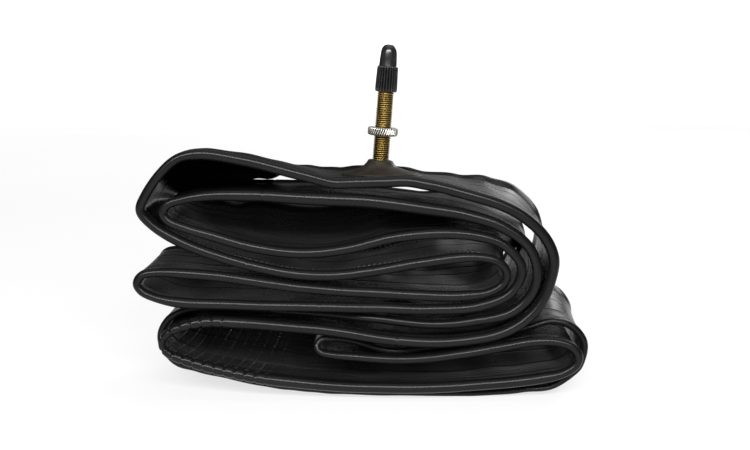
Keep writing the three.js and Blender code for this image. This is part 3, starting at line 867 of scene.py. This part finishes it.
def butyl_material():
    """Black rubber with faint streaks along the tube. The rim face's web is painted paler than the beads
    and the tread face: painted fill light that stands in for the light reaching inside the loops."""
    n = Nodes("butyl_rubber")
    flat = n.place_uv()
    place = n.place_object()
    web_end, bead_start = 19.0 * UV_PER_MM, 22.5 * UV_PER_MM
    web = n.spread(n.absolute(n.part(flat, "Y")), web_end, bead_start, 1.0, 0.0)
    streaks = n.noise(n.stretched(flat, (2.2, 26.0, 1.0)), 1.0, 5.0, 0.6, 0.2)
    stops, warmth = (0.3, 0.5, 0.66, 0.8), (0.0, 0.02, 0.03, 0.04)
    edge_greys = map(grey, (0.0028, 0.0038, 0.0052, 0.008), warmth)
    # the web's paler greys are painted fill light, for the light inside the loops
    web_fill_greys = map(grey, (0.007, 0.011, 0.016, 0.024), warmth)
    edge_color = n.ramp(streaks, list(zip(stops, edge_greys)))
    web_painted_fill_color = n.ramp(streaks, list(zip(stops, web_fill_greys)))
    cloud = n.noise(place, 38.0, 4.0, 0.6)
    dust = n.noise(place, 160.0, 6.0, 0.7, 0.4)
    grain = n.noise(place, 1900.0, 3.0, 0.6)
    pits = n.noise(place, 620.0, 4.0, 0.6)
    mottle = n.add("ShaderNodeMix", A=cloud, B=dust, Factor=0.4).outputs["Result"]
    n.set(
        Base_Color=n.blend(web, edge_color, web_painted_fill_color),
        Roughness=n.spread(mottle, 0.3, 0.7, 0.22, 0.34),
        Specular_IOR_Level=0.17,
    )
    first = n.bump(streaks, 0.0001, 0.15)
    second = n.bump(pits, 0.00004, 0.12, first)
    n.set(Normal=n.bump(grain, 0.00002, 0.2, second))
    return n.material


def soft_rubber_material(name, base, warm, rough_low, rough_high):
    """Dull rubber, mottled between darker and paler shades of its base grey."""
    n = Nodes(name)
    place = n.place_object()
    cloud = n.noise(place, 260.0, 5.0, 0.6)
    grain = n.noise(place, 2400.0, 3.0, 0.6)
    shades = [(0.3, grey(base * 0.7, warm)), (0.55, grey(base, warm)), (0.75, grey(base * 1.7, warm))]
    n.set(
        Base_Color=n.ramp(cloud, shades),
        Roughness=n.spread(cloud, 0.3, 0.7, rough_low, rough_high),
        Specular_IOR_Level=0.25,
    )
    n.set(Normal=n.bump(grain, 0.00003, 0.4))
    return n.material


def metal_material(name, low, middle, high, rough_low, rough_high, painted_groove_shade=None):
    """Tarnished metal with fine scratches round the axis, and painted shade in its grooves if asked for.
    """
    n = Nodes(name)
    place = n.place_object()
    tarnish = n.noise(place, 420.0, 5.0, 0.62, 0.3)
    fine = n.noise(n.stretched(place, (1.0, 1.0, 9.0)), 1500.0, 3.0, 0.6)
    color = n.ramp(tarnish, [(0.3, low), (0.5, middle), (0.72, high)])
    # painted shade darkens the grooves of threads and knurls
    if painted_groove_shade is not None:
        color = n.blend(n.crest(), painted_groove_shade, color)
    n.set(
        Base_Color=color,
        Roughness=n.spread(tarnish, 0.3, 0.7, rough_low, rough_high),
        Metallic=1.0,
    )
    n.set(Normal=n.bump(fine, 0.00001, 0.12))
    return n.material


def cap_material():
    """Black moulded plastic, with painted shade between its ribs."""
    n = Nodes("cap_plastic")
    place = n.place_object()
    cloud = n.noise(place, 240.0, 4.0, 0.6)
    grain = n.noise(place, 1600.0, 3.0, 0.6)
    crest_color = n.ramp(cloud, [(0.3, grey(0.008)), (0.55, grey(0.01)), (0.75, grey(0.013, 0.03))])
    n.set(
        # the grooves between the ribs are painted in shade, near black
        Base_Color=n.blend(n.crest(), grey(0.0008), crest_color),
        Roughness=n.spread(cloud, 0.3, 0.7, 0.16, 0.26),
        Specular_IOR_Level=0.5,
    )
    n.set(Normal=n.bump(grain, 0.00002, 0.25))
    return n.material


def floor_material():
    """The white table. Its glow is painted light that lifts its own shadows, dim in front and brighter
    toward the back.
    """
    n = Nodes("floor_white")
    place = n.place_object()
    cloud = n.noise(place, 3.0, 3.0, 0.5)
    toward_back = n.spread(n.part(place, "Y"), -0.5, 1.5, 0.0, 1.0)
    # painted light: the glow lightens the table's shadows, and its dim front keeps its reflection in the
    # rubber low
    glow = [(0.0, grey(0.2)), (0.18, grey(0.68)), (0.4, grey(0.74)), (1.0, grey(0.94))]
    n.set(
        Base_Color=n.ramp(cloud, [(0.3, grey(0.25)), (0.7, grey(0.28))]),
        Roughness=0.42,
        Specular_IOR_Level=0.3,
        Emission_Color=n.ramp(toward_back, glow),
        Emission_Strength=1.0,
    )
    return n.material


def backdrop_material():
    """The sheet behind the table, which glows nearly white."""
    n = Nodes("backdrop_white")
    place = n.place_object()
    cloud = n.noise(place, 2.0, 3.0, 0.5)
    n.set(
        Base_Color=n.ramp(cloud, [(0.3, grey(0.84)), (0.7, grey(0.87))]),
        Roughness=0.8,
        Emission_Color=(1, 1, 1, 1),
        Emission_Strength=0.95,
    )
    return n.material


# ---- Building the pieces ---------------------------------------------------------------------

rubber = butyl_material()
foot_rubber = soft_rubber_material(
    "foot_rubber", base=0.014, warm=0.24, rough_low=0.34, rough_high=0.48
)
seal_rubber = soft_rubber_material(
    "seal_rubber", base=0.022, warm=0.0, rough_low=0.55, rough_high=0.75
)
# the stem's thread grooves get painted shade
stem_brass = metal_material(
    "stem_brass", (0.24, 0.15, 0.04, 1), (0.36, 0.24, 0.07, 1), (0.48, 0.34, 0.12, 1),
    rough_low=0.4, rough_high=0.52, painted_groove_shade=(0.03, 0.016, 0.006, 1),
)
core_brass = metal_material(
    "core_brass", (0.55, 0.37, 0.13, 1), (0.68, 0.48, 0.2, 1), (0.78, 0.58, 0.28, 1),
    rough_low=0.2, rough_high=0.32,
)
# the ring nut's knurl grooves get painted shade
nickel = metal_material(
    "nickel", (0.7, 0.68, 0.62, 1), (0.8, 0.78, 0.72, 1), (0.88, 0.86, 0.8, 1),
    rough_low=0.3, rough_high=0.42, painted_groove_shade=(0.04, 0.037, 0.03, 1),
)
cap_plastic = cap_material()

tube_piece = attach(build_tube(rubber), "root")
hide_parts("tube")

strip_start = distance_at("core fold", 42.0)
strip_end = distance_at("crossing run", -67.0)
for where, across in (("front", -BEAD_START), ("rear", BEAD_START)):
    strip = build_strip(f"ridge_crossing_{where}", across, strip_start, strip_end, rubber)
    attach(strip, "root")

made = [
    (build_patch(rubber), "valve_patch", "butyl_rubber"),
    (build_foot(foot_rubber), "valve_foot", "foot_rubber"),
    (build_stem(stem_brass), "valve_stem", "stem_brass"),
    (build_core_body(core_brass), "valve_core_body", "core_brass"),
    (build_gasket(seal_rubber), "core_gasket", "seal_rubber"),
    (build_pin(core_brass), "valve_pin", "core_brass"),
    (build_pin_seal(seal_rubber), "pin_seal", "seal_rubber"),
    (build_retainer(core_brass), "seal_retainer", "core_brass"),
    (build_lock_nut(core_brass), "lock_nut", "core_brass"),
    (build_ring_nut(nickel), "ring_nut", "nickel"),
    (build_cap(cap_plastic), "dust_cap", "cap_plastic"),
]
for obj, node, slot in made:
    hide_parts(node)

# ---- Floor, light and camera -----------------------------------------------------------------


def studio_sheet(name, profile, half_width, material):
    """A sheet of the studio, in metres: its profile's points are (y, z)."""
    verts = [(x, y, z) for y, z in profile for x in (-half_width, half_width)]
    quads = [(2 * i, 2 * i + 1, 2 * i + 3, 2 * i + 2) for i in range(len(profile) - 1)]
    mesh = bpy.data.meshes.new(name)
    mesh.from_pydata(verts, [], quads)
    mesh.materials.append(material)
    sheet = bpy.data.objects.new(name, mesh)
    bpy.context.scene.collection.objects.link(sheet)
    return sheet


floor = studio_sheet("floor", [(-6.0, 0.0), (6.0, 0.0)], 6.0, floor_material())

backdrop_profile = [(1.6, -0.002), (1.9, 0.02), (2.1, 0.12), (2.2, 0.32), (2.22, 2.6)]
backdrop = studio_sheet("backdrop", backdrop_profile, 3.0, backdrop_material())
backdrop.visible_glossy = False
backdrop.visible_diffuse = False


def soft_box(name, location, target, width, height, power):
    """A rectangular area light that faces a target, in metres and watts."""
    light = bpy.data.lights.new(name, "AREA")
    light.shape = "RECTANGLE"
    light.size = width
    light.size_y = height
    light.energy = power
    obj = bpy.data.objects.new(name, light)
    obj.location = location
    obj.rotation_mode = "QUATERNION"
    obj.rotation_quaternion = (Vector(target) - Vector(location)).to_track_quat("-Z", "Y")
    bpy.context.scene.collection.objects.link(obj)
    return obj


soft_box("front_box", (-0.1, -1.25, 0.78), (0, 0, 0.05), width=1.6, height=0.26, power=38.0)
soft_box("top_box", (0.1, 0.1, 1.1), (0, 0.05, 0.05), width=1.4, height=1.3, power=6.0)
soft_box("right_box", (0.75, 1.15, 0.6), (0, 0, 0.05), width=0.8, height=0.4, power=3.6)
soft_box("rear_box", (0.5, 1.3, 0.42), (0, 0, 0.05), width=0.9, height=0.4, power=0.42)
soft_box("low_back_box", (-0.2, 1.3, 0.2), (0, 0, 0.08), width=1.4, height=0.2, power=0.1)
fill_box = soft_box("fill_box", (-0.2, -1.3, 0.32), (0, 0, 0.05), width=1.6, height=0.5, power=16.0)
fill_box.visible_glossy = False

world = bpy.data.worlds.new("studio")
world.use_nodes = True
surroundings = world.node_tree.nodes["Background"]
surroundings.inputs["Color"].default_value = (1, 1, 1, 1)
surroundings.inputs["Strength"].default_value = 0.015
bpy.context.scene.world = world
bpy.context.scene.view_settings.view_transform = "Standard"

camera_tilt = 8.274  # degrees below level
camera_data = bpy.data.cameras.new("camera")
camera_data.lens = 56.1
camera_data.sensor_width = 36.0
camera_data.clip_start = 0.01
camera = bpy.data.objects.new("camera", camera_data)
camera.location = (0.004, -0.445, 0.12476)
camera.rotation_euler = (math.radians(90 - camera_tilt), 0, 0)
bpy.context.scene.collection.objects.link(camera)
bpy.context.scene.camera = camera
